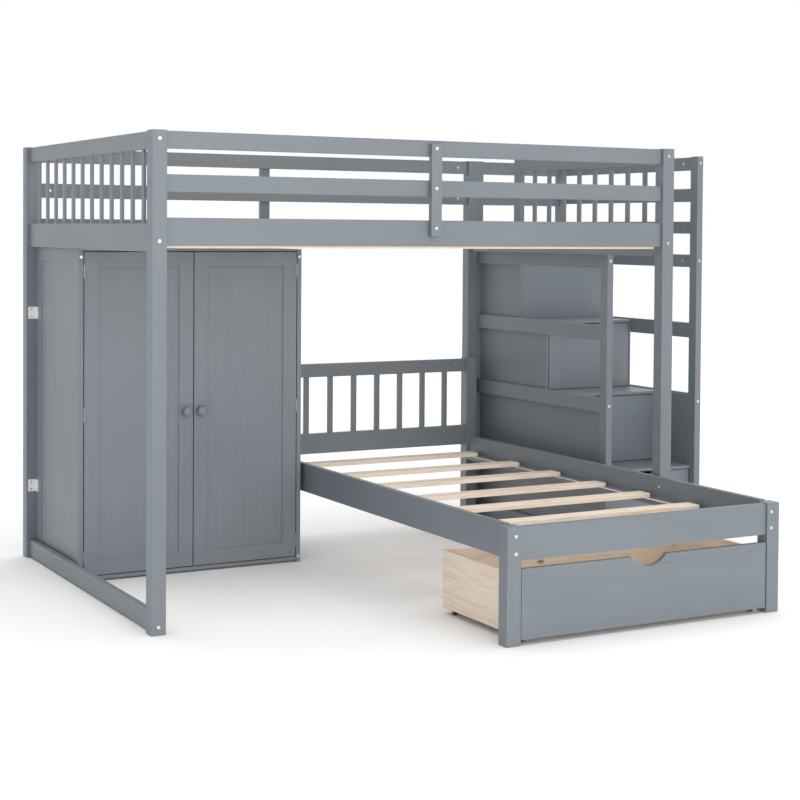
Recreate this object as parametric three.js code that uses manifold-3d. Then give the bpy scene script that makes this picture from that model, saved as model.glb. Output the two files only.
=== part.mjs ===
// A full-size loft bed with a twin bed set crosswise beneath it, a two-door wardrobe under one
// end, a drawer on wheels under the twin bed's foot, and a stair tower with three drawers.
// Millimetres. +X runs along the loft from the wardrobe to the stair, +Y from front to back, +Z up.
import * as THREE from "three";
import { mergeVertices } from "three/addons/utils/BufferGeometryUtils.js";
import Module from "manifold-3d";

// Loft
const LOFT_LENGTH = 2005;
const LOFT_DEPTH = 1461;
const LOFT_HEIGHT = 1576;
const LOFT_POST = 49;
const LOFT_RAIL_THICK = 22;
const SIDE_RAIL = [1216, 1304]; // bottom and top of the long rails that carry the slats
const GUARD_MIDDLE = [1384, 1439];
const GUARD_TOP = [1519, 1574];
const END_RAIL = [1196, 1285];
const RIGHT_END_RAIL_BOTTOM = 1180; // the right one hangs lower, down to the stair's top rail
const FLOOR_RAIL = [6, 70];
const BATTEN = { width: 40, thick: 20, bottom: 1250, top: 1562 };
const GUARD_SLAT = { width: 22, thick: 9 };
const LEFT_GUARD_SLATS = 12;
const RIGHT_GUARD_SLATS = 8;
const ENTRY_POST = [1010, 1058]; // short post where the right guard stops and the way in begins
const LOFT_DECK = { ledgerBottom: 1208, top: 1256, slats: 13, slatWidth: 70, thick: 18, ledger: 22, beam: 38 };

// Twin bed
const BED_LEFT = 906;
const BED_WIDTH = 1068;
const BED_FOOT = -638;
const BED_HEAD = 1412;
const BED_POST = 50;
const BED_POST_HEIGHT = 369;
const BED_RAIL = { bottom: 266, top: 373, thick: 20, inset: 18 };
const FOOT_RAIL = { bottom: 262, top: 366, thick: 22, inset: 8 };
const HEADBOARD = { legHeight: 714, low: [335, 419], high: [655, 710], thick: 22, spindles: 8, spindle: [22, 14] };
const BED_LEDGER = { bottom: 274, top: 296, width: 26 };
const BED_SLATS = { top: 312, thick: 16, width: 66, end: 18, middles: [-545, -251, 40, 323, 637, 945, 1282] };
const WEBBING = { width: 14, thick: 2, fromEnd: 12 };

// Drawer under the twin bed
const DRAWER = { gap: 3, front: 18, bottom: 17, top: 237, wall: 12, boxTop: 213, boxBottom: 21, depth: 478 };
const PULL = { halfWidth: 70, depth: 34 }; // half-moon finger pull in a drawer front
const WHEEL = { radius: 13, width: 14, fromSide: 13, fromEnd: 28 };

// Stair tower
const STAIR_WIDTH = 463;
const STAIR_FRONT = 418;
const STAIR_FRAME = 28;
const STAIR_STILE = 46;
const STAIR_RAIL_THICK = 19;
const RISE = 285;
const RUN = 213;
const FIRST_NOSE = 444;
const FIRST_TREAD = 327;
const BOARD = 16;
const TREAD = 12;
const NOSE = 6;
const STAIR_RAILS = [[20, 75], [558, 617], [843, 903]];
const INNER_TOP_RAIL = [1127, 1180];
const OUTER_GUARDS = [[1129, 1180], [1265, 1314], [1394, 1447], [1521, 1574]];
const STAIR_DRAWER = { gap: 3, foot: 2, side: 9, depth: 380, wall: 12, height: 200, lift: 2 };
const STAIR_PULL = { halfWidth: 44, depth: 20 };
const STAIR_PULL_OFFSETS = [-22, -100, -10]; // from the middles of the drawer fronts
const NOSE_PULL = { halfWidth: 44, depth: 14 }; // the same pull continued through the tread's nose

// Wardrobe
const WARDROBE = { left: 37, right: 904, front: 868, back: 1412, height: 1195, side: 17, top: 8, bottom: 14, lift: 6, backPanel: 8 };
const DOOR = { gap: 3, thick: 18, stile: 55, recess: 5 };
const SIDE_PANEL = { stile: 60, rail: 52, recess: 4 };
const KNOB = { height: 598, inset: 27, radius: 19, length: 30 };
const HANGING_RAIL = { radius: 12, height: 1080 };

const WHOLE = {
  left: 0,
  right: LOFT_LENGTH + STAIR_WIDTH,
  front: BED_FOOT,
  back: LOFT_DEPTH - (LOFT_POST - LOFT_RAIL_THICK - 1) / 2 + BATTEN.thick,
};

const wasm = await Module();
wasm.setup();

const paint = { color: 0x7b848c, roughness: 0.5, metalness: 0 };
const pine = { color: 0xdcc3a4, roughness: 0.7, metalness: 0 };
const rubber = { color: 0x2b2b2c, roughness: 0.8, metalness: 0 };

const root = new THREE.Group();
root.position.set(-(WHOLE.left + WHOLE.right) / 2, -(WHOLE.front + WHOLE.back) / 2, 0);

// Box between two limits along each axis.
function box([x0, x1], [y0, y1], [z0, z1]) {
  const geometry = new THREE.BoxGeometry(x1 - x0, y1 - y0, z1 - z0);
  return geometry.translate((x0 + x1) / 2, (y0 + y1) / 2, (z0 + z1) / 2);
}

function solid(geometry) {
  const bare = geometry.clone();
  for (const name of ["normal", "uv"]) bare.deleteAttribute(name);
  const merged = mergeVertices(bare, 1e-4);
  return new wasm.Manifold(
    new wasm.Mesh({
      numProp: 3,
      vertProperties: merged.attributes.position.array,
      triVerts: new Uint32Array(merged.index.array),
    }),
  );
}

function geometryOf(manifold) {
  const mesh = manifold.getMesh();
  const geometry = new THREE.BufferGeometry();
  geometry.setAttribute("position", new THREE.BufferAttribute(mesh.vertProperties, 3));
  geometry.setIndex(new THREE.BufferAttribute(mesh.triVerts, 1));
  geometry.computeVertexNormals();
  return geometry;
}

function join(pieces, cuts = []) {
  let whole = solid(pieces[0]);
  for (const piece of pieces.slice(1)) whole = whole.add(solid(piece));
  for (const cut of cuts) whole = whole.subtract(solid(cut));
  return geometryOf(whole);
}

function add(name, geometry, finish = paint) {
  const mesh = new THREE.Mesh(geometry, new THREE.MeshStandardMaterial(finish));
  mesh.name = name;
  root.add(mesh);
}

// Cylinder along X, Y or Z about a centre.
function rod(axis, radius, length, [x, y, z], sides = 24) {
  const geometry = new THREE.CylinderGeometry(radius, radius, length, sides);
  if (axis === "x") geometry.rotateZ(Math.PI / 2);
  if (axis === "z") geometry.rotateX(Math.PI / 2);
  return geometry.translate(x, y, z);
}

// Starts of equal bars with equal gaps between two limits.
function evenStarts(low, high, count, width) {
  const gap = (high - low - count * width) / (count + 1);
  return Array.from({ length: count }, (_, i) => low + gap + i * (width + gap));
}

// ---- Loft frame ----

const railInset = (LOFT_POST - LOFT_RAIL_THICK - 1) / 2;
const frontRailY = [railInset, railInset + LOFT_RAIL_THICK];
const backRailY = [LOFT_DEPTH - railInset - LOFT_RAIL_THICK, LOFT_DEPTH - railInset];
const leftRailX = [railInset, railInset + LOFT_RAIL_THICK];
const rightRailX = [LOFT_LENGTH - railInset - LOFT_RAIL_THICK, LOFT_LENGTH - railInset];
const betweenPostsX = [LOFT_POST, LOFT_LENGTH - LOFT_POST];
const betweenPostsY = [LOFT_POST, LOFT_DEPTH - LOFT_POST];

function loftPosts() {
  const ends = { left: [0, LOFT_POST], right: [LOFT_LENGTH - LOFT_POST, LOFT_LENGTH] };
  const rows = { front: [0, LOFT_POST], back: [LOFT_DEPTH - LOFT_POST, LOFT_DEPTH] };
  for (const [row, y] of Object.entries(rows))
    for (const [end, x] of Object.entries(ends))
      add("loft_post_" + row + "_" + end, box(x, y, [0, LOFT_HEIGHT]));
}

function loftLongRails() {
  const middle = LOFT_LENGTH / 2 + 0.5;
  const battenX = [middle - BATTEN.width / 2, middle + BATTEN.width / 2];
  const battenZ = [BATTEN.bottom, BATTEN.top];
  for (const [row, y] of Object.entries({ front: frontRailY, back: backRailY })) {
    add("loft_" + row + "_rail", box(betweenPostsX, y, SIDE_RAIL));
    add("loft_" + row + "_guard_middle", box(betweenPostsX, y, GUARD_MIDDLE));
    add("loft_" + row + "_guard_top", box(betweenPostsX, y, GUARD_TOP));
    const battenY = row === "front" ? [y[0] - BATTEN.thick, y[0]] : [y[1], y[1] + BATTEN.thick];
    add("loft_" + row + "_batten", box(battenX, battenY, battenZ));
  }
}

// Thin upright slats between two rails of an end guard, let into both by a tenon.
function guardSlats(x, low, high, count) {
  const tenon = 8;
  const centre = (x[0] + x[1]) / 2;
  const slatX = [centre - GUARD_SLAT.thick / 2, centre + GUARD_SLAT.thick / 2];
  return evenStarts(low, high, count, GUARD_SLAT.width).map((y) =>
    box(slatX, [y, y + GUARD_SLAT.width], [END_RAIL[1] - tenon, GUARD_TOP[0] + tenon]),
  );
}

function loftEnds() {
  const [low, high] = betweenPostsY;
  add("loft_left_guard", join([
    box(leftRailX, betweenPostsY, END_RAIL),
    box(leftRailX, betweenPostsY, GUARD_TOP),
    ...guardSlats(leftRailX, low, high, LEFT_GUARD_SLATS),
  ]));
  add("loft_right_guard", join([
    box(rightRailX, betweenPostsY, [RIGHT_END_RAIL_BOTTOM, END_RAIL[1]]),
    box(rightRailX, [low, ENTRY_POST[1]], GUARD_TOP),
    box(rightRailX, ENTRY_POST, [END_RAIL[0], GUARD_TOP[1]]),
    ...guardSlats(rightRailX, low, ENTRY_POST[0], RIGHT_GUARD_SLATS),
  ]));
  add("loft_floor_rail", box(leftRailX, betweenPostsY, FLOOR_RAIL));
}

// Slats on two side ledgers and a middle beam.
function loftDeck() {
  const inset = 12;
  const x = [betweenPostsX[0] + inset, betweenPostsX[1] - inset];
  const slatZ = [LOFT_DECK.top - LOFT_DECK.thick, LOFT_DECK.top];
  const ledgerZ = [LOFT_DECK.ledgerBottom, slatZ[0]];
  const ends = [frontRailY[1], backRailY[0]];
  const middle = (ends[0] + ends[1]) / 2;
  const beamY = [middle - LOFT_DECK.beam / 2, middle + LOFT_DECK.beam / 2];
  const slatX = evenStarts(x[0] - inset, x[1] + inset, LOFT_DECK.slats, LOFT_DECK.slatWidth);
  add("loft_slat_base", join([
    box(x, [ends[0], ends[0] + LOFT_DECK.ledger], ledgerZ),
    box(x, [ends[1] - LOFT_DECK.ledger, ends[1]], ledgerZ),
    box(x, beamY, ledgerZ),
    ...slatX.map((start) => box([start, start + LOFT_DECK.slatWidth], ends, [slatZ[0] - 1, slatZ[1]])),
  ]), pine);
}

// ---- Twin bed ----

const bedRight = BED_LEFT + BED_WIDTH;
const bedPostLeftX = [BED_LEFT, BED_LEFT + BED_POST];
const bedPostRightX = [bedRight - BED_POST, bedRight];
const betweenBedPosts = [bedPostLeftX[1], bedPostRightX[0]];
const bedRailLeftX = [BED_LEFT + BED_RAIL.inset, BED_LEFT + BED_RAIL.inset + BED_RAIL.thick];
const bedRailRightX = [bedRight - BED_RAIL.inset - BED_RAIL.thick, bedRight - BED_RAIL.inset];
const footPostY = [BED_FOOT, BED_FOOT + BED_POST];
const headPostY = [BED_HEAD - BED_POST, BED_HEAD];

function twinBedFrame() {
  const railY = [footPostY[1], headPostY[0]];
  const railZ = [BED_RAIL.bottom, BED_RAIL.top];
  const footY = [BED_FOOT + FOOT_RAIL.inset, BED_FOOT + FOOT_RAIL.inset + FOOT_RAIL.thick];
  add("bed_foot_post_left", box(bedPostLeftX, footPostY, [0, BED_POST_HEIGHT]));
  add("bed_foot_post_right", box(bedPostRightX, footPostY, [0, BED_POST_HEIGHT]));
  const ledgerY = [railY[0] + 12, railY[1] - 12];
  const ledgerZ = [BED_LEDGER.bottom, BED_LEDGER.top];
  const leftLedgerX = [bedRailLeftX[1] - 1, bedRailLeftX[1] + BED_LEDGER.width];
  const rightLedgerX = [bedRailRightX[0] - BED_LEDGER.width, bedRailRightX[0] + 1];
  add("bed_side_rail_left", join([box(bedRailLeftX, railY, railZ), box(leftLedgerX, ledgerY, ledgerZ)]));
  add("bed_side_rail_right", join([box(bedRailRightX, railY, railZ), box(rightLedgerX, ledgerY, ledgerZ)]));
  add("bed_foot_rail", box(betweenBedPosts, footY, [FOOT_RAIL.bottom, FOOT_RAIL.top]));
}

// Two legs, two rails and the spindles between them.
function headboard() {
  const tenon = 8;
  const centre = (headPostY[0] + headPostY[1]) / 2;
  const across = (thick) => [centre - thick / 2, centre + thick / 2];
  const [width, thick] = HEADBOARD.spindle;
  const legZ = [0, HEADBOARD.legHeight];
  const railX = [betweenBedPosts[0] - tenon, betweenBedPosts[1] + tenon];
  add("bed_headboard", join([
    box(bedPostLeftX, headPostY, legZ),
    box(bedPostRightX, headPostY, legZ),
    box(railX, across(HEADBOARD.thick), HEADBOARD.low),
    box(railX, across(HEADBOARD.thick), HEADBOARD.high),
    ...evenStarts(...betweenBedPosts, HEADBOARD.spindles, width).map((x) =>
      box([x, x + width], across(thick), [HEADBOARD.low[1] - tenon, HEADBOARD.high[0] + tenon]),
    ),
  ]));
}

// Slats lying on the side rails' ledgers, kept apart by two webbing straps beneath them.
function twinBedDeck() {
  const { top, thick, width, end, middles } = BED_SLATS;
  const slatX = [bedRailLeftX[1] + end, bedRailRightX[0] - end];
  const slat = (middle) => box(slatX, [middle - width / 2, middle + width / 2], [top - thick, top]);
  const strapZ = [top - thick - WEBBING.thick, top - thick + 1];
  const strap = (start) => box([start, start + WEBBING.width], [middles[0], middles.at(-1)], strapZ);
  const straps = [slatX[0] + WEBBING.fromEnd, slatX[1] - WEBBING.fromEnd - WEBBING.width];
  add("bed_slat_base", join([...middles.map(slat), ...straps.map(strap)]), pine);
}

// ---- Drawers ----

// A drawer front with a half-moon finger pull in its top edge.
function pullFront([x0, x1], [y0, y1], [z0, z1], { halfWidth, depth }, offset = 0) {
  const radius = (halfWidth * halfWidth + depth * depth) / (2 * depth);
  const centre = [(x0 + x1) / 2 + offset, (y0 + y1) / 2, z1 - depth + radius];
  const disc = rod("y", radius, y1 - y0 + 4, centre, 128);
  return join([box([x0, x1], [y0, y1], [z0, z1])], [disc]);
}

// An open tray: a block with its inside taken out.
function tray([x0, x1], [y0, y1], [z0, z1], wall, floor) {
  const inside = box([x0 + wall, x1 - wall], [y0 + wall, y1 - wall], [z0 + floor, z1 + 1]);
  return join([box([x0, x1], [y0, y1], [z0, z1])], [inside]);
}

function bedDrawer() {
  const frontX = [betweenBedPosts[0] + DRAWER.gap, betweenBedPosts[1] - DRAWER.gap];
  const frontY = [BED_FOOT + 2, BED_FOOT + 2 + DRAWER.front];
  const sideY = [frontY[1], frontY[1] + DRAWER.depth];
  const sideZ = [DRAWER.boxBottom, DRAWER.boxTop];
  const backY = [sideY[1] - DRAWER.wall, sideY[1]];
  const innerX = [frontX[0] + DRAWER.wall + 3, frontX[1] - DRAWER.wall - 3];
  const floorZ = [sideZ[0] + 8, sideZ[0] + 16];
  add("bed_drawer_front", pullFront(frontX, frontY, [DRAWER.bottom, DRAWER.top], PULL));
  add("bed_drawer_side_left", box([innerX[0] - DRAWER.wall, innerX[0]], sideY, sideZ), pine);
  add("bed_drawer_side_right", box([innerX[1], innerX[1] + DRAWER.wall], sideY, sideZ), pine);
  add("bed_drawer_back", box(innerX, backY, sideZ), pine);
  add("bed_drawer_bottom", box(innerX, [sideY[0], backY[0]], floorZ), pine);
  const wheelX = { left: innerX[0] + WHEEL.fromSide, right: innerX[1] - WHEEL.fromSide };
  const wheelY = { front: sideY[0] + WHEEL.fromEnd, back: backY[0] - WHEEL.fromEnd };
  for (const [row, y] of Object.entries(wheelY))
    for (const [end, x] of Object.entries(wheelX))
      add("bed_drawer_wheel_" + row + "_" + end,
        rod("x", WHEEL.radius, WHEEL.width, [x, y, WHEEL.radius]), rubber);
}

// ---- Stair tower ----

const stairInnerX = [LOFT_LENGTH, LOFT_LENGTH + STAIR_FRAME];
const stairOuterX = [WHOLE.right - STAIR_FRAME, WHOLE.right];
const stairClearX = [stairInnerX[1], stairOuterX[0]];
const frontStileY = [STAIR_FRONT, STAIR_FRONT + STAIR_STILE];
const backStileY = [LOFT_DEPTH - STAIR_STILE, LOFT_DEPTH];
const stairRailY = [frontStileY[1], backStileY[0]];
const innerRailX = [stairInnerX[0], stairInnerX[0] + STAIR_RAIL_THICK];
const outerRailX = [stairOuterX[1] - STAIR_RAIL_THICK, stairOuterX[1]];
const innerPanelX = [innerRailX[1], stairInnerX[1]];
const outerPanelX = [stairOuterX[0], outerRailX[0]];
const backPanelY = [backRailY[0] - 9, backRailY[0]];
const noseY = (step) => FIRST_NOSE + step * RUN;
const treadTop = (step) => FIRST_TREAD + step * RISE;

function stairFrames() {
  const lap = 8;
  const sideRail = (x, z) => box(x, [stairRailY[0] - lap, stairRailY[1]], z);
  add("stair_inner_frame", join([
    box(stairInnerX, frontStileY, [0, treadTop(3)]),
    ...[...STAIR_RAILS, INNER_TOP_RAIL].map((z) => sideRail(innerRailX, z)),
  ]));
  add("stair_outer_frame", join([
    box(stairOuterX, frontStileY, [0, LOFT_HEIGHT]),
    ...[...STAIR_RAILS, ...OUTER_GUARDS].map((z) => sideRail(outerRailX, z)),
  ]));
  const backX = [stairClearX[0] - lap, stairClearX[1] + lap];
  add("stair_back_frame", join([
    box(stairInnerX, backStileY, [0, LOFT_HEIGHT]),
    box(stairOuterX, backStileY, [0, LOFT_HEIGHT]),
    ...[FLOOR_RAIL, SIDE_RAIL, GUARD_MIDDLE, GUARD_TOP].map((z) => box(backX, backRailY, z)),
  ]));
}

// Side panel: level along the low half, then up with the two highest steps.
function steppedPanel(x) {
  const [front, back] = stairRailY;
  const step = (index) => box(x, [noseY(index) + NOSE, back], [12, treadTop(index)]);
  return join([box(x, [front, back], [12, treadTop(1)]), step(2), step(3)]);
}

function stairPanels() {
  add("stair_inner_panel", steppedPanel(innerPanelX));
  add("stair_outer_panel", steppedPanel(outerPanelX));
  add("stair_back_panel", box(stairClearX, backPanelY, [12, treadTop(3)]));
}

// Upright disc that bites a half-moon out of a tread's nose.
function nosePull(x, y, top) {
  const { halfWidth, depth } = NOSE_PULL;
  const radius = (halfWidth * halfWidth + depth * depth) / (2 * depth);
  return rod("z", radius, TREAD * 3, [x, y + depth - radius, top - TREAD / 2], 96);
}

function stairBoards() {
  const board = (front, top, thick) => box(stairClearX, [front, backPanelY[0]], [top - thick, top]);
  add("stair_base_board", board(noseY(0) + NOSE + BOARD + 2, FIRST_TREAD - RISE, BOARD));
  for (const step of [0, 1, 2]) {
    const middle = (stairClearX[0] + stairClearX[1]) / 2 + STAIR_PULL_OFFSETS[step];
    const pull = nosePull(middle, noseY(step), treadTop(step));
    add("stair_tread_" + (step + 1), join([board(noseY(step), treadTop(step), TREAD)], [pull]));
  }
  add("stair_landing", board(noseY(3), treadTop(3), TREAD));
  const riserY = [noseY(3) + NOSE, noseY(3) + NOSE + BOARD];
  add("stair_top_riser", box(stairClearX, riserY, [treadTop(2), treadTop(3) - TREAD]));
}

function stairDrawers() {
  for (const step of [0, 1, 2]) {
    const { gap, foot, side, depth, wall, height, lift } = STAIR_DRAWER;
    const floor = step === 0 ? FIRST_TREAD - RISE : treadTop(step - 1);
    const frontX = [stairClearX[0] + gap, stairClearX[1] - gap];
    const frontY = [noseY(step) + NOSE, noseY(step) + NOSE + BOARD];
    const frontZ = [step === 0 ? 12 : floor + foot, treadTop(step) - TREAD - gap];
    const boxX = [frontX[0] + side, frontX[1] - side];
    const boxY = [frontY[1], frontY[1] + depth];
    add("stair_drawer_" + (step + 1) + "_front", pullFront(frontX, frontY, frontZ, STAIR_PULL, STAIR_PULL_OFFSETS[step]));
    const boxZ = [floor + lift, floor + lift + height];
    add("stair_drawer_" + (step + 1) + "_box", tray(boxX, boxY, boxZ, wall, 8), pine);
  }
}

// ---- Wardrobe ----

// Panel with a shallow recess inside a border, cut into the face at the low end of its thin axis.
function framedPanel(limits, thin, recess, borders) {
  const inner = limits.map(([low, high], axis) =>
    axis === thin ? [low - 1, low + recess] : [low + borders[axis], high - borders[axis]],
  );
  return join([box(...limits)], [box(...inner)]);
}

function wardrobeCase() {
  const { left, right, front, back, height, side, top, bottom, lift, backPanel } = WARDROBE;
  const innerX = [left + side, right - side];
  const boardY = [front + 2, back - backPanel];
  const { stile, rail, recess } = SIDE_PANEL;
  const sideY = [front, back - backPanel];
  add("wardrobe_side_left", framedPanel([[left, left + side], sideY, [0, height]], 0, recess, [0, stile, rail]));
  add("wardrobe_side_right", box([right - side, right], sideY, [0, height]));
  add("wardrobe_bottom", box(innerX, boardY, [lift, lift + bottom]));
  add("wardrobe_top", box(innerX, boardY, [height - top, height]));
  add("wardrobe_back", box([left, right], [back - backPanel, back], [0, height]));
  const middle = (innerX[0] + innerX[1]) / 2;
  add("wardrobe_hanging_rail",
    rod("x", HANGING_RAIL.radius, innerX[1] - innerX[0], [middle, (front + back) / 2, HANGING_RAIL.height]));
}

function wardrobeDoors() {
  const { left, right, front, height, side, top, bottom, lift } = WARDROBE;
  const { gap, thick, stile, recess } = DOOR;
  const middle = (left + right) / 2;
  const z = [lift + bottom + gap, height - top - gap];
  const leaves = {
    left: [left + side + gap, middle - gap / 2],
    right: [middle + gap / 2, right - side - gap],
  };
  for (const [end, x] of Object.entries(leaves)) {
    add("wardrobe_door_" + end, framedPanel([x, [front, front + thick], z], 1, recess, [stile, 0, stile]));
    const knobX = end === "left" ? x[1] - KNOB.inset : x[0] + KNOB.inset;
    add("wardrobe_knob_" + end, knob([knobX, front, KNOB.height]));
  }
}

// Turned knob whose foot meets the door and whose nose points to the front.
function knob([x, y, z]) {
  const { radius, length } = KNOB;
  const profile = [[0, 0], [0.5, 0], [0.4, 0.35], [0.9, 0.5], [1, 0.68], [0.9, 0.86], [0.55, 0.98], [0, 1]];
  const points = profile.map(([out, along]) => new THREE.Vector2(out * radius, along * length));
  const geometry = new THREE.LatheGeometry(points, 24);
  geometry.rotateX(Math.PI);
  return geometryOf(solid(geometry)).translate(x, y, z);
}

loftPosts();
loftLongRails();
loftEnds();
loftDeck();
twinBedFrame();
headboard();
twinBedDeck();
bedDrawer();
stairFrames();
stairPanels();
stairBoards();
stairDrawers();
wardrobeCase();
wardrobeDoors();

export default root;
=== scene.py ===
import math

import bmesh
import bpy
from mathutils import Matrix, Vector


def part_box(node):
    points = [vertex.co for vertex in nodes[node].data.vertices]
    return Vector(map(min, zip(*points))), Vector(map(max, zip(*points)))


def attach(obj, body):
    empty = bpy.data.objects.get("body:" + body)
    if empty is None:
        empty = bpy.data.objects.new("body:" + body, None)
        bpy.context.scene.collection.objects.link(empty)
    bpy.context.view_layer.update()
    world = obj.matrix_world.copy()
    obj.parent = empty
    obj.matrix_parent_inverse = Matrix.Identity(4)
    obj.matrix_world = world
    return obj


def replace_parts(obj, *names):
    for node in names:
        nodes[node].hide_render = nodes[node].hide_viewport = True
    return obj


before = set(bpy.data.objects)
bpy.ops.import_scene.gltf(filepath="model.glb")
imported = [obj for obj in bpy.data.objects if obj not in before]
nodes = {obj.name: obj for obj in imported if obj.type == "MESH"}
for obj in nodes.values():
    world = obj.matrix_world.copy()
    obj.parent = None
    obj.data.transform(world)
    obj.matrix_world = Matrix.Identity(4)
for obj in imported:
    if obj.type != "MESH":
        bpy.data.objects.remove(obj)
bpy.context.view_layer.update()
print("frame loaded:", len(nodes), "boards and panels")

# Colours are linear. Satin blue-grey paint covers pine, and the slats and drawer boxes are bare pine.
paintLook = {
    "colour": (0.190, 0.217, 0.241),
    "shade": (0.170, 0.195, 0.218),
    "roughness": 0.44,
    "grain": 0.22,
}
pineLook = {
    "pale": (0.880, 0.755, 0.630),
    "dark": (0.690, 0.545, 0.400),
    "knot": (0.270, 0.150, 0.070),
    "roughness": 0.62,
}
steelLook = {"colour": (0.78, 0.79, 0.80), "roughness": 0.24}
nickelLook = {"colour": (0.36, 0.37, 0.38), "roughness": 0.36}
railLook = {"colour": (0.72, 0.72, 0.73), "roughness": 0.34}
whiteLook = {"colour": (0.78, 0.79, 0.79), "light": (0.86, 0.87, 0.87), "roughness": 0.38}
blackLook = {"colour": (0.030, 0.031, 0.033), "light": (0.048, 0.049, 0.052), "roughness": 0.55}
webbingLook = {"colour": (0.62, 0.62, 0.60), "light": (0.76, 0.76, 0.74), "roughness": 0.85}

# Sockets of the mix node for vectors and for colours, which share names and so go by number.
vectorMix = {"first": 4, "second": 5, "result": 1}
colourMix = {"first": 6, "second": 7, "result": 2}


def newMaterial(name):
    material = bpy.data.materials.new(name)
    material.use_nodes = True
    tree = material.node_tree
    return material, tree, tree.nodes["Principled BSDF"]


def addNode(tree, kind, **values):
    node = tree.nodes.new(kind)
    for key, value in values.items():
        setattr(node, key, value)
    return node


def mathOf(tree, operation, first, second=0.0):
    node = addNode(tree, "ShaderNodeMath", operation=operation)
    for socket, value in zip(node.inputs, (first, second)):
        if isinstance(value, (int, float)):
            socket.default_value = value
        else:
            tree.links.new(value, socket)
    return node.outputs["Value"]


# Object coordinates squeezed along the board, so that noise turns into long grain.
def grainCoordinates(tree, alongAxis, across, along):
    coordinates = addNode(tree, "ShaderNodeTexCoord")
    mapping = addNode(tree, "ShaderNodeMapping")
    scale = [across, across, across]
    scale["xyz".index(alongAxis)] = along
    mapping.inputs["Scale"].default_value = scale
    tree.links.new(coordinates.outputs["Object"], mapping.inputs["Vector"])
    return mapping.outputs["Vector"]


# 1 inside any of the bands and 0 outside; a band is an axis with its low and high limit.
def bandMask(tree, bands):
    coordinates = addNode(tree, "ShaderNodeTexCoord")
    split = addNode(tree, "ShaderNodeSeparateXYZ")
    tree.links.new(coordinates.outputs["Object"], split.inputs["Vector"])
    mask = 0.0
    for axis, low, high in bands:
        place = split.outputs["xyz".index(axis)]
        above = mathOf(tree, "GREATER_THAN", place, low)
        below = mathOf(tree, "LESS_THAN", place, high)
        mask = mathOf(tree, "MAXIMUM", mathOf(tree, "MULTIPLY", above, below), mask)
    return mask


# Grain along one axis, except inside the bands, where the boards run along another.
def boardCoordinates(tree, alongAxis, across, along, otherAxis, bands):
    main = grainCoordinates(tree, alongAxis, across, along)
    if not bands:
        return main
    other = grainCoordinates(tree, otherAxis, across, along)
    mix = addNode(tree, "ShaderNodeMix", data_type="VECTOR")
    tree.links.new(bandMask(tree, bands), mix.inputs["Factor"])
    tree.links.new(main, mix.inputs[vectorMix["first"]])
    tree.links.new(other, mix.inputs[vectorMix["second"]])
    return mix.outputs[vectorMix["result"]]


def noiseOf(tree, vector, detail, roughness, distortion=0.0):
    noise = addNode(tree, "ShaderNodeTexNoise")
    noise.inputs["Scale"].default_value = 1.0
    noise.inputs["Detail"].default_value = detail
    noise.inputs["Roughness"].default_value = roughness
    noise.inputs["Distortion"].default_value = distortion
    tree.links.new(vector, noise.inputs["Vector"])
    return noise.outputs["Fac"]


# Noise drawn out along the board's grain, turned where the bands turn the boards.
def grainNoise(tree, grain, alongAxis, otherAxis=None, bands=()):
    vector = boardCoordinates(tree, alongAxis, grain["across"], grain["along"], otherAxis, bands)
    return noiseOf(tree, vector, grain["detail"], grain["roughness"], grain["distortion"])


def blendOf(tree, first, firstShare, second, secondShare):
    firstPart = mathOf(tree, "MULTIPLY", first, firstShare)
    secondPart = mathOf(tree, "MULTIPLY", second, secondShare)
    return mathOf(tree, "ADD", firstPart, secondPart)


def rampOf(tree, value, stops):
    ramp = addNode(tree, "ShaderNodeValToRGB")
    elements = ramp.color_ramp.elements
    while len(elements) < len(stops):
        elements.new(0.5)
    for element, (position, colour) in zip(elements, stops):
        element.position = position
        element.color = (*colour, 1)
    tree.links.new(value, ramp.inputs["Fac"])
    return ramp.outputs["Color"]


def greyRamp(tree, value, stops):
    return rampOf(tree, value, [(position, (level, level, level)) for position, level in stops])


def bumpOf(tree, shader, height, strength, distance):
    bump = addNode(tree, "ShaderNodeBump")
    bump.inputs["Strength"].default_value = strength
    bump.inputs["Distance"].default_value = distance
    tree.links.new(height, bump.inputs["Height"])
    tree.links.new(bump.outputs["Normal"], shader.inputs["Normal"])


# Roughness that drops below a look's own value where the noise is low and rises above it where high.
def addRoughness(tree, shader, noise, look, wander):
    below, above = wander
    stops = [(0.3, look["roughness"] - below), (0.7, look["roughness"] + above)]
    tree.links.new(greyRamp(tree, noise, stops), shader.inputs["Roughness"])


# Paint follows the wood under it: long ridges of grain, fine pores and a faint cloudiness.
paintGrain = {
    "ridges": {"across": 150, "along": 4, "detail": 5, "roughness": 0.6, "distortion": 0.3},
    "pores": {"across": 620, "along": 14, "detail": 2, "roughness": 0.5, "distortion": 0.0},
    "cloud": {"across": 6, "along": 2.5, "detail": 3, "roughness": 0.5, "distortion": 0.0},
    "toneShares": {"ridges": 0.45, "cloud": 0.55},
    "toneStops": (0.38, 0.62),
    "heightShares": {"ridges": 0.8, "pores": 0.35},
    "depth": 0.0008,
    "wander": (0.05, 0.07),
}


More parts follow.
